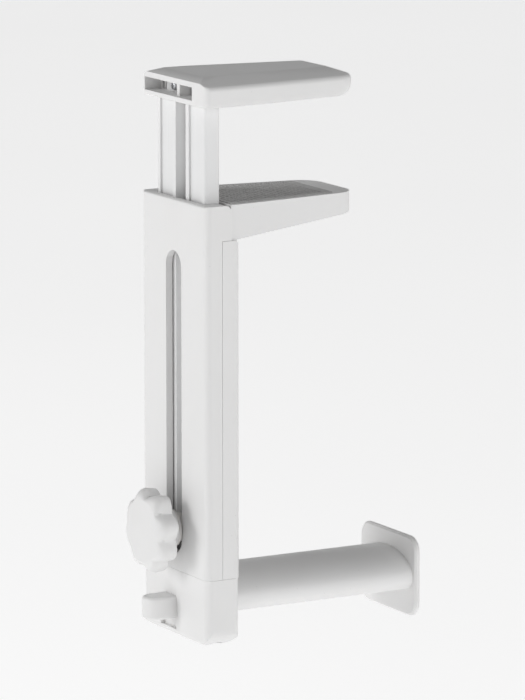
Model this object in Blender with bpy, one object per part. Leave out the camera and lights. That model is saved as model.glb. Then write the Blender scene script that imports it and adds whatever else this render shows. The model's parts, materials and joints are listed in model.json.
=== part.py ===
"""Under-desk headphone hook: a screw-locked sliding clamp that grips a desk top and carries a saddle.

Metres, +Z up. The origin is the centre of the upper clamp pad's face, which lies on the desk top.
+Y runs into the desk, -Y towards the person, and X runs along the desk's edge.
"""

import math

import bmesh
import bpy
from mathutils import Matrix, Vector

MM = 0.001
OVER = 1 * MM  # how far a cutting or joining tool reaches past the face it works on
GAP = 0.3 * MM  # clearance between pieces that move or are pushed together
PARTING_GAP = 0.12 * MM  # the fine line between mouldings that are screwed together
MERGE_DISTANCE = 0.002 * MM
CORE_CORNER = 1 * MM

# Clamp and desk
DESK_THICKNESS = 32 * MM
DESK_EDGE_Y = -22.3 * MM
FRONT_Y = -32 * MM
PAD_THICKNESS = 1.2 * MM
PAD_PROUD = 0.3 * MM
PAD_HALF_LENGTH = 21 * MM
PAD_MARGIN = 3.2 * MM
PAD_LEAST_STEP = 0.05 * MM

# Jaws, in plan
JAW_WIDTH = 45 * MM
JAW_TIP_Y = 30.2 * MM
JAW_TAPER_START_Y = -20 * MM
JAW_TAPER = 0.13
JAW_TIP_RADIUS = 9 * MM
JAW_FRONT_RADIUS = 2.4 * MM
JAW_LEAST_CORNER = 0.2 * MM
JAW_LEAST_TIP = 1 * MM

# Upper jaw
UPPER_JAW_TOP = 9.8 * MM
UPPER_JAW_FALL = 0.004
CROWN_WIDTH = 8.5 * MM
CROWN_SLOPE = math.radians(18)
CROWN_FOOT_RADIUS = 2 * MM
CROWN_FRONT_WIDTH = 4 * MM
CROWN_FRONT_DROP = 1.6 * MM
JAW_FOOT_EDGE = 0.4 * MM
JAW_NOSE_RADIUS = 4.2 * MM
JAW_NOSE_START_Y = 20 * MM
WINDOW_LEFT = -19.8 * MM
WINDOW_RIGHT = 13 * MM
WINDOW_LOW = 2 * MM
WINDOW_HIGH = 6.4 * MM
JAW_RIB = 2 * MM
JAW_RIB_RECESS = 2 * MM
JAW_RIB_RECESS_HALF = 2 * MM
JAW_POST_WALL = 2.6 * MM
BOSS_WALL_BACK_Y = -14 * MM
PASSAGE_SETBACK = 1 * MM
CHAMBER_FLOOR = 3 * MM
CHAMBER_ROOF = 6.2 * MM
CHAMBER_WALL = 2.6 * MM

# Mast: a channel with its open side to the front
MAST_WIDTH = 33 * MM
MAST_DEPTH = 5.9 * MM
MAST_BACK_Y = -23.3 * MM
MAST_CHANNEL = 6.8 * MM
MAST_WEB = 2.2 * MM
MAST_FOOT_Z = -154.8 * MM
MAST_TONGUE_TOP = 6 * MM
MAST_EDGE_RADIUS = 1 * MM
MAST_PANEL_DEPTH = 0.7 * MM
MAST_PANEL_INSET = 2.3 * MM

# Sleeve
SLEEVE_WIDTH = 45.5 * MM
SLEEVE_DEPTH = 13.1 * MM
SLEEVE_WALL = 2.5 * MM
SIDE_WALL = 2.2 * MM
SLEEVE_TOP_Z = -32.3 * MM
SHOULDER_Z = -44.1 * MM
SEAM_Z = -158.3 * MM
PARTING_Y = -26 * MM
SLEEVE_CORNER = 2.4 * MM
SLEEVE_TOP_EDGE = 1 * MM
POCKET_CEILING = 2 * MM
SHOULDER_RADIUS = 2.5 * MM
GUIDE_WALL = 1.8 * MM
SLOT_WIDTH = 10.7 * MM
SLOT_TOP_Z = -49.6 * MM
SLOT_BOTTOM_Z = -152.65 * MM
SHELL_SCREW_X = 18.6 * MM
SHELL_SCREW_Z = (-62 * MM, -140 * MM)
BOSS_HALF = 3.6 * MM

# Lower jaw
LOWER_JAW_ROOT = 11.7 * MM
LOWER_JAW_TIP = 7 * MM
LOWER_JAW_ROOT_Z = -52 * MM
LOWER_JAW_HEEL = 2.2 * MM
LOWER_JAW_TIP_RADIUS = 2.6 * MM
LOWER_JAW_ROOT_WALL = 2.4 * MM
LOWER_JAW_ROOF = 3.6 * MM
LOWER_JAW_SKIRT = 7.4 * MM
LOWER_JAW_RIB = 2 * MM
LOWER_JAW_INSET = 0.6 * MM

# End block
BLOCK_INSET = 0.1 * MM
BLOCK_BACK_Y = FRONT_Y + SLEEVE_DEPTH - BLOCK_INSET
BLOCK_BOTTOM_Z = -181.2 * MM
BLOCK_CORNER = 2.8 * MM
BLOCK_EDGE = 5.5 * MM
BLOCK_FRONT_EDGE = 1.8 * MM
BLOCK_WALL = 2.5 * MM
BLOCK_SCREW_X = 18.6 * MM
BLOCK_SCREW_Y = -26.4 * MM
BLOCK_SCREW_DEPTH = 9 * MM
BLOCK_SCREW_SEAT = 6 * MM
FOOT_BOSS_HEIGHT = 12 * MM
SADDLE_SCREW_X = 7 * MM
SADDLE_SCREW_Y = -25 * MM
SOCKET_HALF = 13.3 * MM
SOCKET_LOW = -174 * MM
SOCKET_HIGH = -163.5 * MM

# Cable peg and the moulding window under it
PEG_X = -3 * MM
PEG_WIDTH = 8.6 * MM
PEG_REACH = 10.4 * MM
PEG_TOP = -167.3 * MM
PEG_BOTTOM = -175.3 * MM
PEG_EDGE = 1.2 * MM
PEG_ROOT_WALL = 1 * MM
PEG_WINDOW_LEFT = -10 * MM
PEG_WINDOW_RIGHT = 1 * MM
PEG_WINDOW_BOTTOM = -179 * MM

# Saddle arm and its end plate
SADDLE_HALF_WIDTH = 17 * MM
SADDLE_CREST_Z = -158.8 * MM
SADDLE_HALF_HEIGHT = 8.5 * MM
SADDLE_LIP_ANGLE = math.radians(30)
SADDLE_WALL = 2.4 * MM
COLLAR_INSET = 0.7 * MM
COLLAR_LENGTH = 1.3 * MM
PLATE_Y = 51.4 * MM
PLATE_THICKNESS = 2.2 * MM
PLATE_HALF_WIDTH = 18.5 * MM
PLATE_TOP_Z = -153.4 * MM
PLATE_BOTTOM_Z = -181.3 * MM
PLATE_CORNER = 5 * MM
PLATE_EDGE = 0.7 * MM

# Knob, its screw and the guide that runs in the slot
KNOB_Z = -144 * MM
KNOB_RADIUS = 14.3 * MM
KNOB_LOBES = 8
KNOB_LOBE_DEPTH = 2.5 * MM
KNOB_LOBE_TURN = math.radians(14.5)
KNOB_LOBE_FULLNESS = 0.6
KNOB_DRAFT = 0.4 * MM
KNOB_RIM_BACK = 5.4 * MM
KNOB_RIM_FRONT = 12.4 * MM
KNOB_CAP_INSET = 3.8 * MM
KNOB_CAP_HEIGHT = 3.4 * MM
KNOB_HUB_RADIUS = 7.2 * MM
WASHER_RADIUS = 6.4 * MM
WASHER_THICKNESS = 1.2 * MM
WASHER_RIM = 0.25 * MM
BOLT_RADIUS = 2 * MM
BOLT_HEAD_RADIUS = 4 * MM
BOLT_HEAD_RIM = 0.4 * MM
BOLT_HEAD_HEIGHT = 2.1 * MM
BOLT_HEAD_SUNK = 0.1 * MM
BOLT_CHAMFER = 0.5 * MM
BOLT_TIP = 10 * MM
INSERT_RADIUS = 3.4 * MM
INSERT_SETBACK = 0.2 * MM
INSERT_END = 9.5 * MM
GUIDE_HALF_HEIGHT = 3.8 * MM
BOSS_CLEARANCE = 0.35 * MM

# Self-tapping screws
SCREW_SHANK = 1 * MM
SCREW_HEAD = 1.7 * MM
SCREW_HEAD_HEIGHT = 1.4 * MM
SCREW_HEAD_SECTION = ((0.6, 1), (0.9, 0.7), (1, 0.3), (1, 0))  # shares of the head's radius and height
SCREW_POINT = 0.3 * MM
RECESS_HALF = 1.2 * MM
RECESS_DEPTH = 0.84 * MM
RECESS_HALF_WIDTH = 0.25 * MM
SEAT_GAP = 0.15 * MM
HEAD_SUNK = 0.3 * MM
WELL_PLAY = 0.5 * MM
JAW_SCREW_LENGTH = 8 * MM
SHELL_SCREW_LENGTH = 7.5 * MM
SHELL_PILOT_DEPTH = 5 * MM
BLOCK_SCREW_LENGTH = 13 * MM
SADDLE_SCREW_LENGTH = 10 * MM
SADDLE_PILOT_DEPTH = 8 * MM
JAW_SCREW_X = 9.5 * MM
JAW_SCREW_Z = 4.1 * MM


# Outlines, as lists of 2-D points running counter-clockwise

def arc(centre, radius, start, end, count):
    """Points of an arc, both ends included, with its angles in degrees."""
    points = []
    for i in range(count + 1):
        angle = math.radians(start + (end - start) * i / count)
        points.append((centre[0] + radius * math.cos(angle), centre[1] + radius * math.sin(angle)))
    return points


def rounded_box(low, high, radii, count=5):
    """A rectangle whose corners, from the lower left round, have the four given radii."""
    corners = ((low[0], low[1]), (high[0], low[1]), (high[0], high[1]), (low[0], high[1]))
    inward = ((1, 1), (-1, 1), (-1, -1), (1, -1))
    points = []
    for i, (corner, turn, radius) in enumerate(zip(corners, inward, radii)):
        if radius == 0:
            points.append(corner)
            continue
        centre = (corner[0] + turn[0] * radius, corner[1] + turn[1] * radius)
        points += arc(centre, radius, 180 + 90 * i, 270 + 90 * i, count)
    return points


def jaw_outline(inset=0.0, front=FRONT_Y):
    """Plan of a jaw: parallel sides at the mast, a taper, and a round tip. The inset shrinks it evenly."""
    half = JAW_WIDTH / 2 - inset
    front = front + inset
    tip = JAW_TIP_Y - inset
    radius = max(JAW_TIP_RADIUS - inset, JAW_LEAST_TIP)
    corner = max(JAW_FRONT_RADIUS - inset, JAW_LEAST_CORNER)
    slope = math.atan(JAW_TAPER)
    centre_y = tip - radius
    # The round corner of the tip is tangent to the tapering side.
    reach = centre_y - JAW_TAPER_START_Y
    centre_x = half - JAW_TAPER * reach - radius / math.cos(slope)
    right = arc((half - corner, front + corner), corner, -90, 0, 5)
    right.append((half, JAW_TAPER_START_Y))
    right += arc((centre_x, centre_y), radius, math.degrees(slope), 90, 12)
    return right + [(-x, y) for x, y in reversed(right)]


def ellipse_arc(half_width, half_height, centre_z, count=32):
    """The saddle's section from its left lip over the crest to its right lip."""
    points = []
    for i in range(count + 1):
        angle = math.pi + SADDLE_LIP_ANGLE - (math.pi + 2 * SADDLE_LIP_ANGLE) * i / count
        points.append((half_width * math.cos(angle), centre_z + half_height * math.sin(angle)))
    return points


# Solids

def material(name, colour, roughness, metallic=0.0):
    made = bpy.data.materials.new(name)
    made.use_nodes = True
    shader = made.node_tree.nodes["Principled BSDF"]
    shader.inputs["Base Color"].default_value = (*colour, 1)
    shader.inputs["Roughness"].default_value = roughness
    shader.inputs["Metallic"].default_value = metallic
    made.diffuse_color = (*colour, 1)
    return made


def new_object(name, mesh):
    made = bpy.data.objects.new(name, mesh)
    bpy.context.scene.collection.objects.link(made)
    return made


def loft(name, rings):
    """A closed solid through rings of equal point counts, with its first and last rings capped."""
    shape = bmesh.new()
    loops = [[shape.verts.new(point) for point in ring] for ring in rings]
    for low, high in zip(loops, loops[1:]):
        for i in range(len(low)):
            j = (i + 1) % len(low)
            shape.faces.new((low[i], low[j], high[j], high[i]))
    shape.faces.new(list(reversed(loops[0])))
    shape.faces.new(loops[-1])
    bmesh.ops.recalc_face_normals(shape, faces=shape.faces)
    mesh = bpy.data.meshes.new(name)
    shape.to_mesh(mesh)
    shape.free()
    return new_object(name, mesh)


def prism(name, outline, axis, low, high):
    """An outline pushed along an axis. X takes (y, z) points, Y takes (x, z) and Z takes (x, y)."""
    place = {
        "X": lambda p, d: (d, p[0], p[1]),
        "Y": lambda p, d: (p[0], d, p[1]),
        "Z": lambda p, d: (p[0], p[1], d),
    }[axis]
    return loft(name, [[place(point, depth) for point in outline] for depth in (low, high)])


def box(name, low, high):
    outline = rounded_box(low[:2], high[:2], (0, 0, 0, 0))
    return prism(name, outline, "Z", low[2], high[2])


def turned(name, profile, position, direction, sides=28):
    """A solid of revolution. The profile is (radius, height) pairs that start and end on the axis."""
    shape = bmesh.new()
    ends = (shape.verts.new((0, 0, profile[0][1])), shape.verts.new((0, 0, profile[-1][1])))
    loops = []
    for radius, height in profile[1:-1]:
        angles = [2 * math.pi * i / sides for i in range(sides)]
        ring = [(radius * math.cos(a), radius * math.sin(a), height) for a in angles]
        loops.append([shape.verts.new(point) for point in ring])
    for i in range(sides):
        j = (i + 1) % sides
        shape.faces.new((ends[0], loops[0][j], loops[0][i]))
        for low, high in zip(loops, loops[1:]):
            shape.faces.new((low[i], low[j], high[j], high[i]))
        shape.faces.new((loops[-1][i], loops[-1][j], ends[1]))
    bmesh.ops.recalc_face_normals(shape, faces=shape.faces)
    mesh = bpy.data.meshes.new(name)
    shape.to_mesh(mesh)
    shape.free()
    made = new_object(name, mesh)
    turn = Vector(direction).to_track_quat("Z", "Y").to_matrix().to_4x4()
    made.matrix_world = Matrix.Translation(position) @ turn
    return made


def cylinder(name, radius, position, direction, length, sides=28):
    profile = [(0, 0), (radius, 0), (radius, length), (0, length)]
    return turned(name, profile, position, direction, sides)


def combine(target, tool, operation):
    """Applies one Boolean with the tool, which is used up."""
    bpy.context.view_layer.update()
    step = target.modifiers.new(operation, "BOOLEAN")
    step.operation = operation
    step.object = tool
    graph = bpy.context.evaluated_depsgraph_get()
    result = bpy.data.meshes.new_from_object(target.evaluated_get(graph))
    target.modifiers.clear()
    target.data = result
    bpy.data.objects.remove(tool)


def cut(target, *tools):
    for tool in tools:
        combine(target, tool, "DIFFERENCE")


def join(target, *tools):
    for tool in tools:
        combine(target, tool, "UNION")


def finish(piece, look, smooth_angle=35):
    """Gives a piece its material, tidies its mesh and shades its round faces smooth."""
    shape = bmesh.new()
    shape.from_mesh(piece.data)
    bmesh.ops.remove_doubles(shape, verts=shape.verts, dist=MERGE_DISTANCE)
    bmesh.ops.dissolve_degenerate(shape, edges=shape.edges, dist=MERGE_DISTANCE)
    shape.to_mesh(piece.data)
    shape.free()
    piece.data.materials.clear()
    piece.data.materials.append(look)
    piece.data.shade_smooth()
    piece.data.set_sharp_from_angle(angle=math.radians(smooth_angle))
    return piece


def hang(pieces, axis):
    """Parents pieces to their joint's empty without moving them."""
    for piece in pieces:
        piece.parent = axis
        piece.matrix_parent_inverse = axis.matrix_world.inverted()


def joint_axis(name, position):
    made = new_object(name, None)
    made.location = position
    bpy.context.view_layer.update()
    return made


def screw(name, seat, direction, length, look):
    """A pan-head screw with a cross recess. The seat is under its head, and it points along direction."""
    head = SCREW_HEAD_HEIGHT
    profile = [(0, -head)]
    profile += [(SCREW_HEAD * part, -head * height) for part, height in SCREW_HEAD_SECTION]
    profile += [(SCREW_SHANK, 0), (SCREW_SHANK, length - SCREW_SHANK), (SCREW_POINT, length), (0, length)]
    piece = turned(name, profile, seat, direction, 16)
    for turn in (0, 90):
        arm = box("recess", (-RECESS_HALF, -RECESS_HALF_WIDTH, -head - OVER),
                  (RECESS_HALF, RECESS_HALF_WIDTH, RECESS_DEPTH - head))
        arm.matrix_world = piece.matrix_world @ Matrix.Rotation(math.radians(turn), 4, "Z")
        cut(piece, arm)
    return finish(piece, look)


# Clamp frame: what stays with the desk

def make_upper_jaw(look):
    """A hollow box, open to the front through two windows, with a rib between them and a boss wall."""
    jaw = loft("upper_jaw", crowned_rings())
    hollow_upper_jaw(jaw)
    web_front = MAST_BACK_Y - MAST_WEB - GAP
    half_web = MAST_WIDTH / 2 + GAP
    low, high = (-half_web, web_front, -OVER), (half_web, MAST_BACK_Y + GAP, MAST_TONGUE_TOP + GAP)
    cut(jaw, box("mortise", low, high))
    cut(jaw, prism("pad_recess", pad_outline(-GAP), "Z", -OVER, PAD_THICKNESS + GAP))
    for x in (-JAW_SCREW_X, JAW_SCREW_X):
        start = (x, MAST_BACK_Y - OVER, JAW_SCREW_Z)
        cut(jaw, cylinder("pilot", SCREW_SHANK + GAP, start, (0, 1, 0), JAW_SCREW_LENGTH, 16))
    return finish(jaw, look)


def foot_rings(steps=4):
    """The jaw's lower edge: small along the sides, and swept up in a round nose at the tip."""
    rings = []
    for i in range(steps + 1):
        angle = math.pi / 2 * i / steps
        rise = JAW_NOSE_RADIUS * (1 - math.cos(angle))
        setback = JAW_NOSE_RADIUS * (1 - math.sin(angle))
        ring = []
        for x, y in jaw_outline(max(0, JAW_FOOT_EDGE - rise)):
            along = max(0, y - JAW_NOSE_START_Y) / (JAW_TIP_Y - JAW_NOSE_START_Y)
            ring.append((x, y - setback * along, PAD_PROUD + rise))
        rings.append(ring)
    return rings


def crown_section(steps=4):
    """The crown as pairs of inset and drop below the top: a small round foot and an even slope."""
    end = math.pi / 2 - CROWN_SLOPE
    radius = CROWN_FOOT_RADIUS
    slope_width = CROWN_WIDTH - radius * (1 - math.cos(end))
    height = radius * math.sin(end) + slope_width * math.tan(CROWN_SLOPE)
    pairs = []
    for i in range(steps + 1):
        angle = end * i / steps
        pairs.append((radius * (1 - math.cos(angle)), height - radius * math.sin(angle)))
    for drop in (CROWN_FRONT_DROP, 0):
        pairs.append((CROWN_WIDTH - drop / math.tan(CROWN_SLOPE), drop))
    return pairs


def crowned_rings():
    """The jaw's outside: its lower edge, and a flat top that slopes away on every side."""
    rings = foot_rings()
    for inset, drop in crown_section():
        # The front face stays upright up to a shallow slope of its own.
        setback = CROWN_FRONT_WIDTH * max(0, 1 - drop / CROWN_FRONT_DROP)
        height = UPPER_JAW_TOP - drop
        ring = []
        for x, y in jaw_outline(inset, FRONT_Y - inset + setback):
            ring.append((x, y, height - UPPER_JAW_FALL * max(0, y - DESK_EDGE_Y)))
        rings.append(ring)
    return rings


def hollow_upper_jaw(jaw):
    """Cuts the front windows, the passages beside the mast and the two rear chambers."""
    web_front = MAST_BACK_Y - MAST_WEB - GAP
    half_web = MAST_WIDTH / 2 + GAP
    half_rib = JAW_RIB / 2
    half_chamber = -WINDOW_LEFT
    for low_x, high_x in ((WINDOW_LEFT, -half_rib), (half_rib, WINDOW_RIGHT)):
        cut(jaw, box("window", (low_x, FRONT_Y - OVER, WINDOW_LOW), (high_x, web_front, WINDOW_HIGH)))
    recess_half = JAW_RIB_RECESS_HALF
    cut(jaw, box("rib_recess", (-recess_half, FRONT_Y - OVER, WINDOW_LOW),
                 (recess_half, FRONT_Y + JAW_RIB_RECESS, WINDOW_HIGH)))
    # Behind the wide right-hand post the hollow runs on to the side wall.
    cut(jaw, box("post_recess", (WINDOW_RIGHT - OVER, FRONT_Y + JAW_POST_WALL, WINDOW_LOW),
                 (half_chamber, web_front, WINDOW_HIGH)))
    end_half = JAW_WIDTH / 2 - CHAMBER_WALL - JAW_TAPER * (JAW_TIP_Y - JAW_TAPER_START_Y)
    chamber = [(half_rib, BOSS_WALL_BACK_Y), (half_chamber - CHAMBER_WALL, BOSS_WALL_BACK_Y),
               (end_half, JAW_TIP_Y - 3 * CHAMBER_WALL), (half_rib, JAW_TIP_Y - 2 * CHAMBER_WALL)]
    for side in (-1, 1):
        passage = box("passage", (half_web + GAP, web_front - OVER, WINDOW_LOW),
                      (half_chamber - PASSAGE_SETBACK, BOSS_WALL_BACK_Y + OVER, WINDOW_HIGH))
        rear = prism("chamber", chamber, "Z", CHAMBER_FLOOR, CHAMBER_ROOF)
        for tool in (passage, rear):
            tool.scale.x = side
            cut(jaw, tool)


def pad_outline(inset=0.0):
    """The clamp pads are a smaller copy of the jaw's plan, cut straight across near the mast."""
    margin = PAD_MARGIN + inset
    points = []
    for x, y in jaw_outline(margin):
        points.append((x, max(min(y, PAD_HALF_LENGTH - inset), -PAD_HALF_LENGTH + inset)))
    kept = []
    for point in points:
        if not kept or math.dist(point, kept[-1]) > PAD_LEAST_STEP:
            kept.append(point)
    return kept


def make_pad(name, low, look):
    return finish(prism(name, pad_outline(), "Z", low, low + PAD_THICKNESS), look)


def make_mast(look):
    """The channel, its tongue into the upper jaw, and the bolt and screw holes in its web."""
    half = MAST_WIDTH / 2
    front = MAST_BACK_Y - MAST_DEPTH
    outline = rounded_box((-half, front), (half, MAST_BACK_Y), (MAST_EDGE_RADIUS,) * 4, 4)
    mast = prism("mast", outline, "Z", MAST_FOOT_Z, MAST_TONGUE_TOP)
    channel_half = MAST_CHANNEL / 2
    web_front = MAST_BACK_Y - MAST_WEB
    low, high = MAST_FOOT_Z - OVER, PAD_PROUD + OVER
    cut(mast, box("channel", (-channel_half, front - OVER, low), (channel_half, web_front, high)))
    for side in (-1, 1):
        panel = box("panel", (channel_half + MAST_PANEL_INSET, front - OVER, low),
                    (half - MAST_PANEL_INSET, front + MAST_PANEL_DEPTH, high))
        panel.scale.x = side
        cut(mast, panel)
    cut(mast, box("shoulder", (-half - OVER, front - OVER, PAD_PROUD - GAP),
                  (half + OVER, web_front, MAST_TONGUE_TOP + OVER)))
    for x in (-JAW_SCREW_X, JAW_SCREW_X):
        start = (x, web_front - OVER, JAW_SCREW_Z)
        cut(mast, cylinder("hole", SCREW_SHANK + GAP, start, (0, 1, 0), MAST_WEB + 2 * OVER, 16))
    head = turned("countersink", countersunk(GAP), (0, MAST_BACK_Y, KNOB_Z), (0, -1, 0), 24)
    cut(mast, head)
    return finish(mast, look)


def countersunk(grow=0.0):
    """Profile of the clamp bolt from its flush head to its tip, or of the hole that it fits."""
    head = BOLT_HEAD_RADIUS + grow
    shank = BOLT_RADIUS + grow
    low = -OVER if grow else 0
    tip = MAST_BACK_Y - FRONT_Y + BOLT_TIP
    return [(0, low), (head, low), (head, BOLT_HEAD_RIM + grow), (shank, BOLT_HEAD_HEIGHT + grow),
            (shank, tip - 2 * BOLT_CHAMFER), (shank - BOLT_CHAMFER, tip), (0, tip)]


def make_clamp_bolt(look):
    bolt = turned("clamp_bolt", countersunk(), (0, MAST_BACK_Y - BOLT_HEAD_SUNK, KNOB_Z), (0, -1, 0), 24)
    return finish(bolt, look)


def make_slot_guide(look):
    """Fills the mast's channel round the bolt, with a round boss that runs in the sleeve's slot."""
    half = MAST_CHANNEL / 2 - GAP
    back = MAST_BACK_Y - MAST_WEB - GAP
    boss_back = MAST_BACK_Y - MAST_DEPTH - GAP
    boss_front = FRONT_Y + GAP
    low, high = (-half, KNOB_Z - GUIDE_HALF_HEIGHT), (half, KNOB_Z + GUIDE_HALF_HEIGHT)
    base = rounded_box(low, high, (CORE_CORNER,) * 4, 3)
    guide = prism("slot_guide", base, "Y", boss_back - GAP, back)
    radius = SLOT_WIDTH / 2 - BOSS_CLEARANCE
    join(guide, cylinder("boss", radius, (0, boss_back, KNOB_Z), (0, -1, 0), boss_back - boss_front))
    length = back - boss_front + 2 * OVER
    cut(guide, cylinder("bore", BOLT_RADIUS + GAP, (0, back + OVER, KNOB_Z), (0, -1, 0), length, 24))
    return finish(guide, look)


# Sleeve: what slides along the mast

def slot_outline():
    half = SLOT_WIDTH / 2
    top = arc((0, SLOT_TOP_Z - half), half, 0, 180, 12)
    bottom = arc((0, SLOT_BOTTOM_Z + half), half, 180, 360, 12)
    return top + bottom


def make_front_shell(look):
    """Front wall with the slot, both sides, and guide walls and screw bosses beside the mast."""
    back = DESK_EDGE_Y
    profile = [(FRONT_Y, SEAM_Z), (PARTING_Y, SEAM_Z), (PARTING_Y, SHOULDER_Z + PARTING_GAP),
               (back, SHOULDER_Z + PARTING_GAP)]
    profile += arc((back - SHOULDER_RADIUS, SLEEVE_TOP_Z - SHOULDER_RADIUS), SHOULDER_RADIUS, 0, 90, 5)
    edge = SLEEVE_TOP_EDGE
    profile += arc((FRONT_Y + edge, SLEEVE_TOP_Z - edge), edge, 90, 180, 3)
    half = SLEEVE_WIDTH / 2
    shell = prism("front_shell", profile, "X", -half - OVER, half + OVER)
    plan = rounded_box((-half, FRONT_Y), (half, back + OVER), (SLEEVE_CORNER, SLEEVE_CORNER, 0, 0))
    combine(shell, prism("plan", plan, "Z", SEAM_Z - OVER, SLEEVE_TOP_Z + OVER), "INTERSECT")
    inner = MAST_WIDTH / 2 + GAP
    front = FRONT_Y + SLEEVE_WALL
    cut(shell, box("mast_way", (-inner, front, SEAM_Z - OVER), (inner, back + OVER, SLEEVE_TOP_Z + OVER)))
    cut(shell, prism("slot", slot_outline(), "Y", FRONT_Y - OVER, front + OVER))
    levels = [SLEEVE_TOP_Z - POCKET_CEILING]
    for z in SHELL_SCREW_Z:
        levels += [z + BOSS_HALF, z - BOSS_HALF]
    levels.append(SEAM_Z + FOOT_BOSS_HEIGHT)
    for high, low in zip(levels[::2], levels[1::2]):
        for x in (inner + GUIDE_WALL, -half + SIDE_WALL):
            width = half - SIDE_WALL - inner - GUIDE_WALL
            cut(shell, box("pocket", (x, front, low), (x + width, back + OVER, high)))
    boss_width = half - SIDE_WALL - GAP - inner
    for x in (inner, -inner - boss_width):
        low, high = (x, front - OVER, SEAM_Z), (x + boss_width, MAST_BACK_Y, SEAM_Z + FOOT_BOSS_HEIGHT)
        join(shell, box("foot_boss", low, high))
    for x in (-SHELL_SCREW_X, SHELL_SCREW_X):
        for z in SHELL_SCREW_Z:
            start = (x, PARTING_Y + OVER, z)
            cut(shell, cylinder("pilot", SCREW_SHANK + GAP, start, (0, -1, 0), SHELL_PILOT_DEPTH, 12))
    for x in (-BLOCK_SCREW_X, BLOCK_SCREW_X):
        start = (x, BLOCK_SCREW_Y, SEAM_Z - OVER)
        cut(shell, cylinder("pilot", SCREW_SHANK + GAP, start, (0, 0, 1), BLOCK_SCREW_DEPTH, 12))
    return finish(shell, look)


def lower_jaw_section(start):
    """Side view of the lower jaw as (y, z) points: flat on top, a rising underside and a round tip."""
    step = start + LOWER_JAW_HEEL
    radius = LOWER_JAW_TIP_RADIUS
    points = [(start, SLEEVE_TOP_Z), (start, LOWER_JAW_ROOT_Z), (step, LOWER_JAW_ROOT_Z)]
    points.append((step, SLEEVE_TOP_Z - LOWER_JAW_ROOT))
    points += arc((JAW_TIP_Y - radius, SLEEVE_TOP_Z - LOWER_JAW_TIP + radius), radius, -90, 0, 5)
    points.append((JAW_TIP_Y, SLEEVE_TOP_Z))
    return points


def make_rear_shell(look):
    """Rear wall and side lips of the sleeve, moulded in one with the lower jaw."""
    back = FRONT_Y + SLEEVE_DEPTH
    low_y = PARTING_Y + PARTING_GAP
    profile = [(low_y, SEAM_Z), (back, SEAM_Z)]
    profile += arc((back - SHOULDER_RADIUS, SHOULDER_Z - SHOULDER_RADIUS), SHOULDER_RADIUS, 0, 90, 5)
    profile.append((low_y, SHOULDER_Z))
    half = SLEEVE_WIDTH / 2
    shell = prism("rear_shell_with_lower_jaw", profile, "X", -half - OVER, half + OVER)
    plan = rounded_box((-half, low_y - OVER), (half, back), (0, 0, SLEEVE_CORNER, SLEEVE_CORNER))
    combine(shell, prism("plan", plan, "Z", SEAM_Z - OVER, SHOULDER_Z + OVER), "INTERSECT")
    inner = MAST_WIDTH / 2 + GAP
    wall_front = MAST_BACK_Y + GAP
    cut(shell, box("mast_way", (-inner, low_y - OVER, SEAM_Z - OVER), (inner, wall_front, SHOULDER_Z + OVER)))
    pocket_half = half - SIDE_WALL
    levels = [SHOULDER_Z - POCKET_CEILING]
    for z in SHELL_SCREW_Z:
        levels += [z + BOSS_HALF, z - BOSS_HALF]
    levels.append(SEAM_Z - OVER)
    width = pocket_half - inner + OVER
    for high, low in zip(levels[::2], levels[1::2]):
        for x in (inner - OVER, -pocket_half):
            cut(shell, box("pocket", (x, low_y - OVER, low), (x + width, wall_front, high)))
    start = DESK_EDGE_Y + PARTING_GAP
    section = lower_jaw_section(start)
    jaw = prism("jaw", section, "X", -half, half)
    plan = jaw_outline(LOWER_JAW_INSET, start - JAW_WIDTH / 4)
    combine(jaw, prism("plan", plan, "Z", LOWER_JAW_ROOT_Z - OVER, SLEEVE_TOP_Z + OVER), "INTERSECT")
    join(shell, jaw)
    core_lower_jaw(shell)
    floor = -DESK_THICKNESS - PAD_THICKNESS - GAP
    cut(shell, prism("pad_recess", pad_outline(-GAP), "Z", floor, SLEEVE_TOP_Z + OVER))
    for x in (-SHELL_SCREW_X, SHELL_SCREW_X):
        for z in SHELL_SCREW_Z:
            start = (x, back + OVER, z)
            through = back - PARTING_Y + 2 * OVER
            cut(shell, cylinder("hole", SCREW_SHANK + GAP, start, (0, -1, 0), through, 12))
            depth = OVER + SCREW_HEAD_HEIGHT + WELL_PLAY
            cut(shell, cylinder("counterbore", SCREW_HEAD + GAP, start, (0, -1, 0), depth, 16))
    return finish(shell, look)


def core_lower_jaw(shell):
    """Three pockets from below, with ribs between them, keep the jaw's walls even."""
    ceiling = SLEEVE_TOP_Z - LOWER_JAW_ROOF
    floor = LOWER_JAW_ROOT_Z + LOWER_JAW_SKIRT
    start = FRONT_Y + SLEEVE_DEPTH + LOWER_JAW_ROOT_WALL
    half = JAW_WIDTH / 2 - CHAMBER_WALL - LOWER_JAW_INSET
    middle = half / 3
    end = JAW_TIP_Y - 2 * CHAMBER_WALL
    rib = LOWER_JAW_RIB / 2
    cut(shell, box("core", (-middle + rib, start, floor), (middle - rib, end, ceiling)))
    start_half = half - JAW_TAPER * (start - JAW_TAPER_START_Y)
    side_end = end - 2 * CHAMBER_WALL
    end_half = half - JAW_TAPER * (side_end - JAW_TAPER_START_Y)
    for side in (-1, 1):
        outline = [(middle + rib, start), (start_half, start), (end_half, side_end), (middle + rib, side_end)]
        pocket = prism("core", outline, "Z", floor, ceiling)
        pocket.scale.x = side
        cut(shell, pocket)


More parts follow.
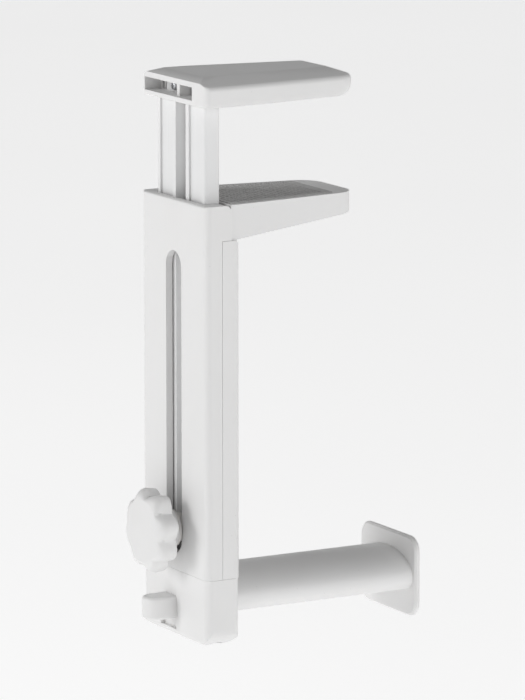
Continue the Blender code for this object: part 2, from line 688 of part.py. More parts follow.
def make_end_block(look):
    """Cup under the sleeve: it carries the saddle arm behind and the cable peg in front."""
    half = SLEEVE_WIDTH / 2 - BLOCK_INSET
    front = FRONT_Y + BLOCK_INSET
    back = BLOCK_BACK_Y
    top = SEAM_Z - PARTING_GAP
    profile = [(back, top), (front, top)]
    edge = BLOCK_FRONT_EDGE
    profile += arc((front + edge, BLOCK_BOTTOM_Z + edge), edge, 180, 270, 5)
    edge = BLOCK_EDGE
    profile += arc((back - edge, BLOCK_BOTTOM_Z + edge), edge, 270, 360, 5)
    block = prism("end_block", profile, "X", -half - OVER, half + OVER)
    plan = rounded_box((-half, front), (half, back), (BLOCK_CORNER,) * 4)
    combine(block, prism("plan", plan, "Z", BLOCK_BOTTOM_Z - OVER, top + OVER), "INTERSECT")
    face = rounded_box((-half, BLOCK_BOTTOM_Z), (half, top + OVER), (BLOCK_EDGE, BLOCK_EDGE, 0, 0))
    combine(block, prism("face", face, "Y", front - OVER, back + OVER), "INTERSECT")
    add_cable_peg(block, front)
    inner_front = front + BLOCK_WALL
    inner_back = back - BLOCK_WALL
    tenon_top = SOCKET_HIGH + BLOCK_WALL
    cut(block, box("cup", (-SOCKET_HALF, inner_front, tenon_top), (SOCKET_HALF, inner_back, top + OVER)))
    socket = rounded_box((-SOCKET_HALF, SOCKET_LOW), (SOCKET_HALF, SOCKET_HIGH), (CORE_CORNER,) * 4, 3)
    cut(block, prism("socket", socket, "Y", inner_front, back + OVER))
    below = BLOCK_BOTTOM_Z - OVER
    through = top + OVER - below
    head_room = top - BLOCK_SCREW_SEAT - below
    for x in (-BLOCK_SCREW_X, BLOCK_SCREW_X):
        start = (x, BLOCK_SCREW_Y, below)
        cut(block, cylinder("hole", SCREW_SHANK + GAP, start, (0, 0, 1), through, 12))
        cut(block, cylinder("well", SCREW_HEAD + GAP, start, (0, 0, 1), head_room, 16))
    through = SOCKET_LOW + OVER - below
    head_room = OVER + SCREW_HEAD_HEIGHT + WELL_PLAY
    for x in (-SADDLE_SCREW_X, SADDLE_SCREW_X):
        start = (x, SADDLE_SCREW_Y, below)
        cut(block, cylinder("hole", SCREW_SHANK + GAP, start, (0, 0, 1), through, 12))
        cut(block, cylinder("well", SCREW_HEAD + GAP, start, (0, 0, 1), head_room, 16))
    return finish(block, look)


def add_cable_peg(block, face_y):
    """A round-ended tongue that a hanging cable is looped over, and the moulding window below it."""
    half = PEG_WIDTH / 2
    root = face_y + BLOCK_WALL - PEG_ROOT_WALL
    end = face_y - PEG_REACH + half
    outline = arc((PEG_X, end), half, 180, 360, 12) + [(PEG_X + half, root), (PEG_X - half, root)]
    low, high = (PEG_WINDOW_LEFT, face_y - OVER), (PEG_WINDOW_RIGHT, root)
    window = box("window", (*low, PEG_WINDOW_BOTTOM), (*high, PEG_BOTTOM + PEG_EDGE))
    cut(block, window)
    rings = []
    levels = arc((PEG_EDGE, PEG_BOTTOM + PEG_EDGE), PEG_EDGE, 270, 180, 4)
    levels += arc((PEG_EDGE, PEG_TOP - PEG_EDGE), PEG_EDGE, 180, 90, 4)
    for inset, z in levels:
        scale = (half - inset) / half
        ring = []
        for x, y in outline:
            ring.append((PEG_X + (x - PEG_X) * scale, y + (inset if y < end else 0), z))
        rings.append(ring)
    join(block, loft("tongue", rings))


# Saddle

def make_saddle_arm(look):
    """A half-round arm, hollow below, with an upright plate at its end and a tenon at its root."""
    centre = SADDLE_CREST_Z - SADDLE_HALF_HEIGHT
    root = BLOCK_BACK_Y + GAP
    outer = ellipse_arc(SADDLE_HALF_WIDTH, SADDLE_HALF_HEIGHT, centre)
    inner = ellipse_arc(SADDLE_HALF_WIDTH - SADDLE_WALL, SADDLE_HALF_HEIGHT - SADDLE_WALL, centre)
    arm = prism("saddle_arm", outer + inner[::-1], "Y", root + COLLAR_LENGTH - GAP, PLATE_Y + OVER)
    scale = 1 - COLLAR_INSET / SADDLE_HALF_WIDTH
    collar = [(x * scale, centre + (z - centre) * scale) for x, z in outer]
    join(arm, prism("collar", collar, "Y", root, root + COLLAR_LENGTH + OVER))
    tenon_half = SOCKET_HALF - GAP
    low, high = (-tenon_half, SOCKET_LOW + GAP), (tenon_half, SOCKET_HIGH - GAP)
    tenon = rounded_box(low, high, (CORE_CORNER,) * 4, 3)
    tenon_end = FRONT_Y + BLOCK_INSET + BLOCK_WALL + GAP
    join(arm, prism("tenon", tenon, "Y", tenon_end, root + OVER))
    edge = PLATE_EDGE
    rings = []
    for inset, y in ((edge, PLATE_Y), (0, PLATE_Y + edge), (0, PLATE_Y + PLATE_THICKNESS - edge),
                     (edge, PLATE_Y + PLATE_THICKNESS)):
        half = PLATE_HALF_WIDTH - inset
        low, high = (-half, PLATE_BOTTOM_Z + inset), (half, PLATE_TOP_Z - inset)
        outline = rounded_box(low, high, (PLATE_CORNER - inset,) * 4)
        rings.append([(x, y, z) for x, z in outline])
    join(arm, loft("plate", rings))
    for x in (-SADDLE_SCREW_X, SADDLE_SCREW_X):
        start = (x, SADDLE_SCREW_Y, SOCKET_LOW - OVER)
        cut(arm, cylinder("pilot", SCREW_SHANK + GAP, start, (0, 0, 1), SADDLE_PILOT_DEPTH, 12))
    return finish(arm, look)


# Knob

def lobed_ring(radius, lobe_depth, height, points=144):
    """One ring of the knob's star outline: wide lobes with narrower hollows between them."""
    ring = []
    for i in range(points):
        angle = 2 * math.pi * i / points
        wave = (1 + math.cos(KNOB_LOBES * (angle - KNOB_LOBE_TURN))) / 2
        reach = radius - lobe_depth * (1 - wave ** KNOB_LOBE_FULLNESS)
        ring.append((reach * math.cos(angle), reach * math.sin(angle), height))
    return ring


def make_knob(look):
    """Local +Z is the knob's axis and points to the person; the sleeve's front face is local z = 0."""
    rim_back = KNOB_RIM_BACK
    shoulder = KNOB_RIM_FRONT - KNOB_CAP_HEIGHT
    rings = [lobed_ring(KNOB_RADIUS - 2 * KNOB_DRAFT, KNOB_LOBE_DEPTH, rim_back),
             lobed_ring(KNOB_RADIUS - KNOB_DRAFT, KNOB_LOBE_DEPTH, rim_back + KNOB_DRAFT)]
    steps = 7
    for i in range(steps + 1):
        angle = math.pi / 2 * i / steps
        radius = KNOB_RADIUS - KNOB_CAP_INSET * (1 - math.cos(angle))
        # The lobes fade out over the round shoulder, so the cap's face is a plain disc.
        depth = KNOB_LOBE_DEPTH * math.cos(angle)
        rings.append(lobed_ring(radius, depth, shoulder + KNOB_CAP_HEIGHT * math.sin(angle)))
    knob = loft("knob", rings)
    hub_back = WASHER_THICKNESS + 2 * GAP
    hub_length = rim_back + OVER - hub_back
    join(knob, cylinder("hub", KNOB_HUB_RADIUS, (0, 0, hub_back), (0, 0, 1), hub_length, 32))
    bore_length = BOLT_TIP + GAP - hub_back + OVER
    start = (0, 0, hub_back - OVER)
    cut(knob, cylinder("bore", INSERT_RADIUS + GAP, start, (0, 0, 1), bore_length, 24))
    place_on_knob_axis(knob)
    return finish(knob, look, 40)


def make_knob_insert(look):
    """The threaded brass insert that turns on the clamp bolt."""
    low = WASHER_THICKNESS + 2 * GAP + INSERT_SETBACK
    profile = [(0, low), (INSERT_RADIUS, low), (INSERT_RADIUS, INSERT_END), (0, INSERT_END)]
    insert = turned("knob_insert", profile, (0, 0, 0), (0, 0, 1), 24)
    cut(insert, cylinder("thread", BOLT_RADIUS + GAP, (0, 0, 0), (0, 0, 1), INSERT_END + OVER, 24))
    place_on_knob_axis(insert)
    return finish(insert, look)


def make_friction_washer(look):
    low = GAP
    high = GAP + WASHER_THICKNESS
    rim = WASHER_RIM
    profile = [(0, low), (WASHER_RADIUS - rim, low), (WASHER_RADIUS, low + rim), (WASHER_RADIUS, high - rim),
               (WASHER_RADIUS - rim, high), (0, high)]
    washer = turned("friction_washer", profile, (0, 0, 0), (0, 0, 1), 36)
    length = high + 2 * OVER
    cut(washer, cylinder("bore", BOLT_RADIUS + GAP, (0, 0, -OVER), (0, 0, 1), length, 24))
    place_on_knob_axis(washer)
    return finish(washer, look)


def place_on_knob_axis(piece):
    piece.matrix_world = Matrix.Translation((0, FRONT_Y, KNOB_Z)) @ Matrix.Rotation(math.radians(90), 4, "X")


def main():
    for old in list(bpy.data.objects):
        bpy.data.objects.remove(old)

    white = (0.86, 0.86, 0.85)
    frame_white = material("mast_white", white, 0.38)
    jaw_white = material("jaw_white", white, 0.42)
    shell_white = material("shell_white", white, 0.42)
    block_white = material("block_white", white, 0.42)
    saddle_white = material("saddle_white", white, 0.4)
    knob_white = material("knob_white", (0.85, 0.85, 0.84), 0.45)
    rubber = material("pad_rubber", (0.62, 0.62, 0.61), 0.85)
    steel = material("screw_steel", (0.55, 0.56, 0.57), 0.35, 1.0)
    brass = material("insert_brass", (0.76, 0.6, 0.3), 0.35, 1.0)
    nylon = material("guide_nylon", (0.82, 0.82, 0.8), 0.5)

    make_upper_jaw(jaw_white)
    make_pad("upper_pad", 0, rubber)
    make_mast(frame_white)
    seat_y = MAST_BACK_Y - MAST_WEB - SEAT_GAP
    for name, x in (("jaw_screw_left", -JAW_SCREW_X), ("jaw_screw_right", JAW_SCREW_X)):
        screw(name, (x, seat_y, JAW_SCREW_Z), (0, 1, 0), JAW_SCREW_LENGTH, steel)
    make_slot_guide(nylon)
    make_clamp_bolt(steel)

    sleeve = [make_front_shell(shell_white), make_rear_shell(shell_white)]
    sleeve.append(make_pad("lower_pad", -DESK_THICKNESS - PAD_THICKNESS, rubber))
    seat_y = FRONT_Y + SLEEVE_DEPTH - SCREW_HEAD_HEIGHT - HEAD_SUNK
    names = iter(("shell_screw_1", "shell_screw_2", "shell_screw_3", "shell_screw_4"))
    for z in SHELL_SCREW_Z:
        for x in (-SHELL_SCREW_X, SHELL_SCREW_X):
            sleeve.append(screw(next(names), (x, seat_y, z), (0, -1, 0), SHELL_SCREW_LENGTH, steel))
    sleeve.append(make_end_block(block_white))
    for name, x in (("block_screw_left", -BLOCK_SCREW_X), ("block_screw_right", BLOCK_SCREW_X)):
        seat_z = SEAM_Z - PARTING_GAP - BLOCK_SCREW_SEAT - SEAT_GAP
        sleeve.append(screw(name, (x, BLOCK_SCREW_Y, seat_z), (0, 0, 1), BLOCK_SCREW_LENGTH, steel))
    sleeve.append(make_saddle_arm(saddle_white))
    for name, x in (("saddle_screw_left", -SADDLE_SCREW_X), ("saddle_screw_right", SADDLE_SCREW_X)):
        seat_z = BLOCK_BOTTOM_Z + SCREW_HEAD_HEIGHT + HEAD_SUNK
        sleeve.append(screw(name, (x, SADDLE_SCREW_Y, seat_z), (0, 0, 1), SADDLE_SCREW_LENGTH, steel))

    slide = joint_axis("sleeve_slide_axis", (0, DESK_EDGE_Y, SEAM_Z))
    hang(sleeve, slide)
    turn = joint_axis("knob_turn_axis", (0, FRONT_Y, KNOB_Z))
    hang([make_friction_washer(nylon), make_knob(knob_white), make_knob_insert(brass)], turn)


main()
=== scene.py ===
"""Looks of the headphone hook: rounded edges, ribbed pads, threaded screws, materials, light and camera."""

import json
import math

import bmesh
import bpy
from mathutils import Matrix, Vector


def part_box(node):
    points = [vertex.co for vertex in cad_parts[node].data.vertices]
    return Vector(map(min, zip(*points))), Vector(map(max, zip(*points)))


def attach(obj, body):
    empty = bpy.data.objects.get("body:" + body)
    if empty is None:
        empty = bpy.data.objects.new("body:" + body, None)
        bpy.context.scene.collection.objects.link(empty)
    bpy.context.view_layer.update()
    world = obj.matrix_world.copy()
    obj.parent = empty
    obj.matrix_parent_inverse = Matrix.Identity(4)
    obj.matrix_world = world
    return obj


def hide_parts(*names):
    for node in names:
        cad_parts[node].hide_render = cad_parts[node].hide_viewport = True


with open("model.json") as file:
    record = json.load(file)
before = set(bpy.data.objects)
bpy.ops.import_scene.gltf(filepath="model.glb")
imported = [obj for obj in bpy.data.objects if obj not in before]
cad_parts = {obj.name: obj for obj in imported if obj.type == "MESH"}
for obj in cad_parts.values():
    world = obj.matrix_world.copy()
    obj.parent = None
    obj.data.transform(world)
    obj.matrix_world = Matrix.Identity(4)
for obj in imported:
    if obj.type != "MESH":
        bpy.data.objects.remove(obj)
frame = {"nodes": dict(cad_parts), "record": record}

MM = 0.001
MERGE_DISTANCE = 0.002 * MM
FLAT_ANGLE = math.radians(0.4)
SHARP_ANGLE = math.radians(32)
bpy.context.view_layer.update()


# Meshes

def new_object(name, rings):
    """A closed solid through rings of equal point counts, with its first and last rings capped."""
    shape = bmesh.new()
    loops = [[shape.verts.new(point) for point in ring] for ring in rings]
    for low, high in zip(loops, loops[1:]):
        for i in range(len(low)):
            j = (i + 1) % len(low)
            shape.faces.new((low[i], low[j], high[j], high[i]))
    shape.faces.new(list(reversed(loops[0])))
    shape.faces.new(loops[-1])
    bmesh.ops.recalc_face_normals(shape, faces=shape.faces)
    mesh = bpy.data.meshes.new(name)
    shape.to_mesh(mesh)
    shape.free()
    made = bpy.data.objects.new(name, mesh)
    bpy.context.scene.collection.objects.link(made)
    return made


def cut(target, tool):
    """Applies one Boolean difference with the tool, which is used up."""
    step = target.modifiers.new("cut", "BOOLEAN")
    step.operation = "DIFFERENCE"
    step.object = tool
    bpy.context.view_layer.update()
    graph = bpy.context.evaluated_depsgraph_get()
    result = bpy.data.meshes.new_from_object(target.evaluated_get(graph))
    target.modifiers.clear()
    target.data = result
    bpy.data.objects.remove(tool)


def shade(piece, angle=35):
    piece.data.shade_smooth()
    piece.data.set_sharp_from_angle(angle=math.radians(angle))


def round_edges(piece, width):
    """Rounds a piece's sharp edges with modifiers alone, so that its own mesh stays as it is."""
    weld = piece.modifiers.new("weld", "WELD")
    weld.merge_threshold = MERGE_DISTANCE
    flat = piece.modifiers.new("flat faces", "DECIMATE")
    flat.decimate_type = "DISSOLVE"
    flat.angle_limit = FLAT_ANGLE
    bevel = piece.modifiers.new("rounded edges", "BEVEL")
    bevel.width = width
    bevel.segments = 2
    bevel.limit_method = "ANGLE"
    bevel.angle_limit = SHARP_ANGLE
    bevel.miter_outer = "MITER_ARC"
    soft = piece.modifiers.new("even shading", "WEIGHTED_NORMAL")
    soft.mode = "FACE_AREA_WITH_ANGLE"
    soft.weight = 60


# Rubber pads

PAD_BORDER = 1.5 * MM
RIB_PITCH = 2.0 * MM
RIB_TOP = 1.0 * MM
RIB_SLOPE = 0.2 * MM
GROOVE_DEPTH = 0.4 * MM
PAD_ROUNDING = 0.12 * MM
PAD_TAPER = 0.13
PAD_TAPER_START = -20 * MM


def ribbed_pad(node_name, body, grips_down):
    """A rubber pad with cross ribs on its gripping face, inside a plain border."""
    low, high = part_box(node_name)
    grip, back = (low.z, high.z) if grips_down else (high.z, low.z)
    groove = grip + GROOVE_DEPTH * (1 if grips_down else -1)
    stations = [(low.y, grip), (low.y + PAD_BORDER, grip)]
    y = stations[-1][0]
    while y + RIB_PITCH < high.y - PAD_BORDER:
        stations += [(y + RIB_SLOPE, groove), (y + RIB_PITCH - RIB_TOP - RIB_SLOPE, groove)]
        stations += [(y + RIB_PITCH - RIB_TOP, grip), (y + RIB_PITCH, grip)]
        y += RIB_PITCH
    stations.append((high.y, grip))
    rings = []
    for y, face in stations:
        half = high.x - PAD_TAPER * max(0, y - PAD_TAPER_START)
        edge = half - PAD_BORDER
        foot = edge - RIB_SLOPE
        rings.append([(-half, y, back), (half, y, back), (half, y, grip), (edge, y, grip),
                      (foot, y, face), (-foot, y, face), (-edge, y, grip), (-half, y, grip)])
    pad = new_object(node_name + "_ribbed", rings)
    shade(pad)
    round_edges(pad, PAD_ROUNDING)
    return dress(pad, body, node_name, "pad_rubber")


# Screws

SCREW_SIDES = 28
HEAD_RADIUS = 1.7 * MM
HEAD_HEIGHT = 1.4 * MM
THREAD_CORE = 0.72 * MM
THREAD_CREST = 1.0 * MM
THREAD_PITCH = 0.8 * MM
THREAD_SHARPNESS = 3.4
ROWS_PER_TURN = 9
POINT_LENGTH = 1.6 * THREAD_CREST
POINT_SHARE = 0.16  # the thread's radius at the end of its point, as a share of its full radius
TIP_SHARE = 0.14
NECK_SHARE = 1.1
# share of the head's radius, share of its height
HEAD_SECTION = ((0.25, -1), (0.62, -0.98), (0.82, -0.86), (0.95, -0.62), (1, -0.3), (1, -0.06), (0.96, 0))
RECESS_DEPTH = 0.9 * MM
RECESS_LENGTH = 1.02 * MM
RECESS_WIDTH = 0.24 * MM
RECESS_SECTION = ((1.08, -0.3 * MM), (1, 0), (0.5, RECESS_DEPTH))  # share of the length, depth


def circle(radius, height):
    """One ring of a screw; the radius may be a function of the angle."""
    ring = []
    for i in range(SCREW_SIDES):
        angle = 2 * math.pi * i / SCREW_SIDES
        reach = radius(angle) if callable(radius) else radius
        ring.append((reach * math.cos(angle), reach * math.sin(angle), height))
    return ring


def thread_row(height, fade):
    """One ring of the thread, whose single ridge climbs by one pitch in a turn."""
    def reach(angle):
        phase = (height / THREAD_PITCH - angle / (2 * math.pi)) % 1
        ridge = max(0, 1 - THREAD_SHARPNESS * abs(phase - 0.5))
        return (THREAD_CORE + (THREAD_CREST - THREAD_CORE) * ridge) * fade
    return circle(reach, height)


def screw(node_name, body, direction):
    """A self-tapping pan-head screw, where the plain screw of the frame is."""
    direction = Vector(direction)
    low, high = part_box(node_name)
    reach = abs((high - low).dot(direction))
    length = reach - HEAD_HEIGHT
    rings = [circle(HEAD_RADIUS * radius, HEAD_HEIGHT * height) for radius, height in HEAD_SECTION]
    rings.append(circle(THREAD_CORE * NECK_SHARE, 0))
    rows = int(length / THREAD_PITCH * ROWS_PER_TURN)
    for i in range(1, rows):
        height = length * i / rows
        left = (length - height) / POINT_LENGTH
        rings.append(thread_row(height, min(1, POINT_SHARE + (1 - POINT_SHARE) * left)))
    rings.append(circle(THREAD_CORE * TIP_SHARE, length))
    made = new_object(node_name + "_threaded", rings)
    for turn in (0, 90):
        wedge = []
        for scale, depth in RECESS_SECTION:
            half, wide = RECESS_LENGTH * scale, RECESS_WIDTH * (0.4 + 0.6 * scale)
            corners = ((-half, -wide), (half, -wide), (half, wide), (-half, wide))
            wedge.append([(x, y, depth - HEAD_HEIGHT) for x, y in corners])
        tool = new_object("recess", wedge)
        tool.rotation_euler.z = math.radians(turn)
        cut(made, tool)
    shade(made, 40)
    seat = (low + high) / 2 - direction * (reach / 2 - HEAD_HEIGHT)
    made.matrix_world = Matrix.Translation(seat) @ direction.to_track_quat("Z", "Y").to_matrix().to_4x4()
    return dress(made, body, node_name, "screw_steel")


# Materials

def node(tree, kind, inputs=None, **settings):
    """Adds a shader node. Each input is a value or the socket that feeds it."""
    made = tree.nodes.new("ShaderNode" + kind)
    for name, value in settings.items():
        setattr(made, name, value)
    for name, value in (inputs or {}).items():
        if isinstance(value, bpy.types.NodeSocket):
            tree.links.new(value, made.inputs[name])
        else:
            made.inputs[name].default_value = value
    return made


def spread(tree, value, from_low, from_high, low, high):
    return node(tree, "MapRange", {"Value": value, "From Min": from_low, "From Max": from_high,
                                   "To Min": low, "To Max": high}).outputs[0]


def noise(tree, where, per_metre, low=0.0, high=1.0, detail=2.0, stretch=(1, 1, 1)):
    """Smooth noise with that many bumps a metre, spread between low and high."""
    mapped = node(tree, "Mapping", {"Vector": where, "Scale": stretch}).outputs[0]
    made = node(tree, "TexNoise", {"Vector": mapped, "Scale": per_metre, "Detail": detail})
    return spread(tree, made.outputs[0], 0.3, 0.7, low, high)


def maths(tree, operation, first, second):
    return node(tree, "Math", {0: first, 1: second}, operation=operation).outputs[0]


def mixed(tree, amount, first, second):
    """Two colours, each a value or a socket, mixed by an amount from 0 to 1."""
    return node(tree, "Mix", {0: amount, 6: first, 7: second}, data_type="RGBA").outputs[2]


def grey(level, warmth=0.0):
    return (level * (1 + warmth), level, level * (1 - warmth), 1)


def edges(tree, radius):
    """About 1 along edges and in corners, and 0 on open faces."""
    rounded = node(tree, "Bevel", {"Radius": radius}, samples=4).outputs[0]
    normal = node(tree, "NewGeometry").outputs["Normal"]
    alike = node(tree, "VectorMath", {0: rounded, 1: normal}, operation="DOT_PRODUCT").outputs["Value"]
    return spread(tree, alike, 0.999, 0.9, 0, 1)


def crevices(tree, reach):
    """About 1 deep in gaps and corners, and 0 on open faces: a mask for painted shade."""
    open_sky = node(tree, "AmbientOcclusion", {"Distance": reach}, samples=4).outputs["AO"]
    return spread(tree, open_sky, 0.75, 0.25, 0, 1)


def bump(tree, layers):
    """Chains bump layers, each (height socket, depth in metres, strength), and gives the last normal."""
    normal = None
    for height, depth, strength in layers:
        inputs = {"Height": height, "Distance": depth, "Strength": strength}
        if normal:
            inputs["Normal"] = normal
        normal = node(tree, "Bump", inputs).outputs[0]
    return normal


def new_material(name, **values):
    """A material with its shader's even values set, its node tree and its object coordinates."""
    made = bpy.data.materials.new(name)
    made.use_nodes = True
    tree = made.node_tree
    shader = tree.nodes["Principled BSDF"]
    for socket, value in values.items():
        shader.inputs[socket.replace("_", " ")].default_value = value
    where = node(tree, "TexCoord").outputs["Object"]
    return made, tree, shader, where


def connect(tree, shader, colour, roughness, normal):
    for socket, source in (("Base Color", colour), ("Roughness", roughness), ("Normal", normal)):
        tree.links.new(source, shader.inputs[socket])


def moulded_plastic(name, level, roughness, rubbed=None):
    """White moulded plastic: clouding, worn edges, painted shade in its corners and a fine satin grain.

    rubbed(tree, where) may give a mask of where hands or other pieces have polished it."""
    made, tree, shader, where = new_material(name, IOR=1.49)
    shader.inputs["Subsurface Weight"].default_value = 0.04
    shader.inputs["Subsurface Radius"].default_value = (0.9 * MM, 0.85 * MM, 0.8 * MM)
    cloud = noise(tree, where, 28, detail=4)
    flow = noise(tree, where, 16, detail=3, stretch=(1, 1, 0.22))
    colour = mixed(tree, cloud, grey(level * 0.965, 0.004), grey(level, 0.002))
    colour = mixed(tree, maths(tree, "MULTIPLY", flow, 0.25), colour, grey(level * 0.94, 0.006))
    fleck = node(tree, "TexVoronoi", {"Vector": where, "Scale": 230}).outputs["Distance"]
    fleck = spread(tree, fleck, 0.03, 0.05, 0.35, 0)
    colour = mixed(tree, fleck, colour, grey(level * 0.6, 0.02))
    worn = maths(tree, "MULTIPLY", edges(tree, 0.5 * MM), noise(tree, where, 180, 0.2, 1, detail=3))
    colour = mixed(tree, maths(tree, "MULTIPLY", worn, 0.5), colour, grey(min(1, level * 1.07)))
    # Painted shade: darker and a little rougher in gaps and corners, from an ambient-occlusion mask broken up
    # by noise.
    corner_shade = maths(tree, "MULTIPLY", crevices(tree, 3.5 * MM), noise(tree, where, 320, 0.5, 1, detail=3))
    colour = mixed(tree, maths(tree, "MULTIPLY", corner_shade, 0.42), colour, grey(level * 0.66, 0.02))
    rough = noise(tree, where, 75, roughness - 0.035, roughness + 0.035, detail=5)
    rough = maths(tree, "ADD", rough, maths(tree, "MULTIPLY", corner_shade, 0.22))
    rough = maths(tree, "SUBTRACT", rough, maths(tree, "MULTIPLY", worn, 0.07))
    if rubbed:
        mask = rubbed(tree, where)
        rough = maths(tree, "SUBTRACT", rough, maths(tree, "MULTIPLY", mask, 0.13))
        colour = mixed(tree, maths(tree, "MULTIPLY", mask, 0.35), colour, grey(level * 0.93, 0.01))
    grain = noise(tree, where, 2400, detail=2)
    sink = noise(tree, where, 55, detail=1)
    scuff = noise(tree, where, 700, detail=3, stretch=(1, 1, 0.12))
    normal = bump(tree, ((sink, 0.12 * MM, 0.35), (scuff, 0.02 * MM, 0.25), (grain, 0.03 * MM, 0.45)))
    connect(tree, shader, colour, rough, normal)
    return made


CREST_FOOT_Z = -163 * MM
CREST_TOP_Z = -159 * MM
TRACK_EDGE_X = 6.7 * MM
TRACK_FULL_X = 6.1 * MM
TRACK_BACK_Y = -31 * MM
TRACK_FRONT_Y = -31.8 * MM
KNOB_Z = -144 * MM
LOBE_FOOT_RADIUS = 12.4 * MM
LOBE_TIP_RADIUS = 14 * MM
KNOB_BACK_Y = -34 * MM
KNOB_FRONT_Y = -37 * MM


def saddle_crest(tree, where):
    """The top of the saddle, where headbands are laid and drawn off."""
    height = node(tree, "SeparateXYZ", {0: where}).outputs["Z"]
    band = spread(tree, height, CREST_FOOT_Z, CREST_TOP_Z, 0, 1)
    streaks = noise(tree, where, 420, 0.3, 1, detail=3, stretch=(0.15, 1, 1))
    return maths(tree, "MULTIPLY", band, streaks)


def washer_track(tree, where):
    """The strip beside the slot that the washer has rubbed while the sleeve was moved."""
    parts = node(tree, "SeparateXYZ", {0: where}).outputs
    aside = node(tree, "Math", {0: parts["X"]}, operation="ABSOLUTE").outputs[0]
    strip = spread(tree, aside, TRACK_EDGE_X, TRACK_FULL_X, 0, 1)
    front = spread(tree, parts["Y"], TRACK_BACK_Y, TRACK_FRONT_Y, 0, 1)
    lines = noise(tree, where, 1500, 0.15, 1, detail=2, stretch=(1, 1, 0.02))
    return maths(tree, "MULTIPLY", maths(tree, "MULTIPLY", strip, front), lines)


def knob_rim(tree, where):
    """The lobes of the knob, which fingers have polished."""
    parts = node(tree, "SeparateXYZ", {0: where}).outputs
    moved = node(tree, "VectorMath", {0: where, 1: (0, 0, -KNOB_Z)}, operation="ADD").outputs[0]
    flat = node(tree, "VectorMath", {0: moved, 1: (1, 0, 1)}, operation="MULTIPLY").outputs[0]
    radius = node(tree, "VectorMath", {0: flat}, operation="LENGTH").outputs["Value"]
    tips = spread(tree, radius, LOBE_FOOT_RADIUS, LOBE_TIP_RADIUS, 0, 1)
    front = spread(tree, parts["Y"], KNOB_BACK_Y, KNOB_FRONT_Y, 0.2, 1)
    return maths(tree, "MULTIPLY", tips, front)


def powder_coat(name, level):
    """White powder coat: orange peel, a thin gloss, and upright rub marks from the sleeve."""
    made, tree, shader, where = new_material(name, IOR=1.5, Coat_Weight=0.25, Coat_Roughness=0.22)
    cloud = noise(tree, where, 34, detail=3)
    colour = mixed(tree, cloud, grey(level * 0.97, -0.002), grey(level))
    lines = noise(tree, where, 1300, detail=3, stretch=(1, 1, 0.012))
    patch = noise(tree, where, 60, detail=2, stretch=(1, 1, 0.5))
    drawn = spread(tree, lines, 0.55, 0.95, 0, 1)
    rub = maths(tree, "MULTIPLY", drawn, spread(tree, patch, 0.4, 0.9, 0, 0.55))
    colour = mixed(tree, rub, colour, grey(level * 0.8, -0.005))
    worn = maths(tree, "MULTIPLY", edges(tree, 0.4 * MM), noise(tree, where, 240, -0.4, 1, detail=3))
    worn = node(tree, "Math", {0: worn, 1: 0.0}, operation="MAXIMUM").outputs[0]
    colour = mixed(tree, maths(tree, "MULTIPLY", worn, 0.4), colour, grey(min(1, level * 1.06)))
    # Painted shade: darker in gaps and corners, from an ambient-occlusion mask.
    corner_shade = crevices(tree, 3 * MM)
    colour = mixed(tree, maths(tree, "MULTIPLY", corner_shade, 0.35), colour, grey(level * 0.62, 0.02))
    rough = maths(tree, "ADD", noise(tree, where, 90, 0.3, 0.38, detail=4), maths(tree, "MULTIPLY", rub, 0.2))
    peel = noise(tree, where, 900, detail=1)
    pits = noise(tree, where, 3200, detail=2)
    normal = bump(tree, ((peel, 0.05 * MM, 0.35), (pits, 0.012 * MM, 0.3), (lines, 0.01 * MM, 0.2)))
    connect(tree, shader, colour, rough, normal)
    return made


def rubber(name, level):
    """Pale grey rubber: matt, a little chalky on its ribs, with painted shade between them."""
    made, tree, shader, where = new_material(name, IOR=1.52, Sheen_Weight=0.15, Sheen_Roughness=0.6)
    cloud = noise(tree, where, 130, detail=4)
    colour = mixed(tree, cloud, grey(level * 0.9, 0.01), grey(level, 0.006))
    # Painted shade between the ribs and in corners, from an ambient-occlusion mask broken up by noise.
    corner_shade = maths(tree, "MULTIPLY", crevices(tree, 1.2 * MM), noise(tree, where, 600, 0.4, 1, detail=3))
    colour = mixed(tree, maths(tree, "MULTIPLY", corner_shade, 0.5), colour, grey(level * 0.55, 0.015))
    worn = maths(tree, "MULTIPLY", edges(tree, 0.25 * MM), noise(tree, where, 300, 0.2, 1, detail=2))
    colour = mixed(tree, maths(tree, "MULTIPLY", worn, 0.35), colour, grey(min(1, level * 1.25)))
    rough = noise(tree, where, 260, 0.78, 0.92, detail=3)
    pores = noise(tree, where, 3600, detail=3)
    swell = noise(tree, where, 420, detail=2)
    normal = bump(tree, ((swell, 0.05 * MM, 0.3), (pores, 0.04 * MM, 0.5)))
    connect(tree, shader, colour, rough, normal)
    return made


def nylon(name, level):
    """Natural nylon: milky, slightly yellow, with long drag marks."""
    made, tree, shader, where = new_material(name, IOR=1.53)
    shader.inputs["Subsurface Weight"].default_value = 0.2
    shader.inputs["Subsurface Radius"].default_value = (1.6 * MM, 1.5 * MM, 1.2 * MM)
    cloud = noise(tree, where, 90, detail=3)
    colour = mixed(tree, cloud, grey(level * 0.93, 0.03), grey(level, 0.02))
    drag = noise(tree, where, 1200, detail=2, stretch=(1, 1, 0.04))
    colour = mixed(tree, spread(tree, drag, 0.6, 1, 0, 0.4), colour, grey(level * 0.75, 0.02))
    rough = noise(tree, where, 200, 0.4, 0.5, detail=3)
    rough = maths(tree, "ADD", rough, maths(tree, "MULTIPLY", drag, 0.08))
    normal = bump(tree, ((drag, 0.02 * MM, 0.3), (noise(tree, where, 2600), 0.02 * MM, 0.4)))
    connect(tree, shader, colour, rough, normal)
    return made


